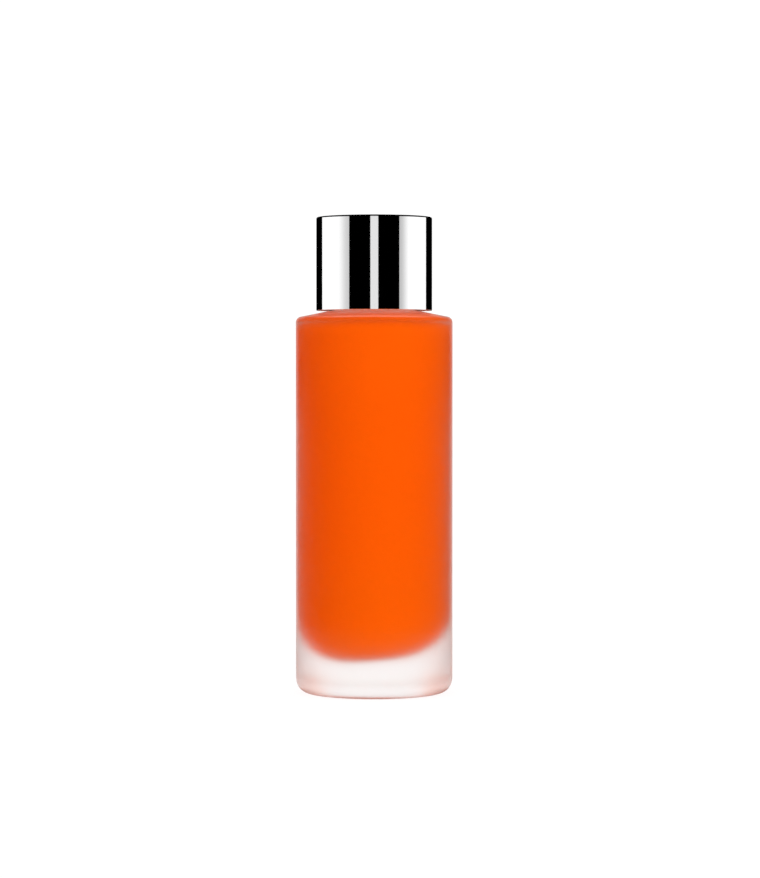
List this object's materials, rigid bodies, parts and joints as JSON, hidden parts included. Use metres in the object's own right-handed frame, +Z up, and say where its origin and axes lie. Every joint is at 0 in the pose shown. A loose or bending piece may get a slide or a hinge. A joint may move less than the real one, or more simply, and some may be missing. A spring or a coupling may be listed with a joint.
{
  "type": "foundation bottle",
  "caption": "Round frosted-glass bottle of liquid foundation with a heavy base, a plugged threaded neck and a bright cylindrical screw cap that turns and lifts off.",
  "frame": {"origin": "centre of the ring that the glass stands on", "axes": "+Z up along the bottle's axis, from the base to the cap; +X is where the neck thread starts; +Y is the back"},
  "size_m": [0.034, 0.034, 0.1032],
  "materials": {
    "frosted_glass": "acid-etched frosted outside, fire-polished inside",
    "foundation": "opaque liquid, saturated orange",
    "plug_plastic": "natural low-density polyethylene",
    "label_film": "plain white self-adhesive film, no print",
    "bright_metal": "mirror-bright metallised shell",
    "weight_steel": "tumbled zinc-plated steel",
    "insert_plastic": "moulded white polypropylene",
    "liner_foam": "closed-cell polyethylene foam"
  },
  "bodies": {
    "bottle": {"glass_bottle": "frosted_glass", "foundation_fluid": "foundation", "pour_plug": "plug_plastic", "base_label": "label_film"},
    "liner": {"cap_liner": "liner_foam"},
    "cap": {"cap_shell": "bright_metal", "cap_insert": "insert_plastic", "cap_weight": "weight_steel"}
  },
  "joints": [
    {"name": "cap_lift", "type": "slide", "parent": "bottle", "child": "liner", "axis": [0, 0, 1], "range_m": [0, 0.0207]},
    {"name": "cap_turn", "type": "hinge", "parent": "liner", "child": "cap", "pos_m": [0, 0, 0.0932], "axis": [0, 0, 1], "range_deg": [0, 2340]}
  ],
  "couplings": [
    {"joint": "cap_lift", "follows": "cap_turn", "m_per_rad": 0.00050532}
  ]
}
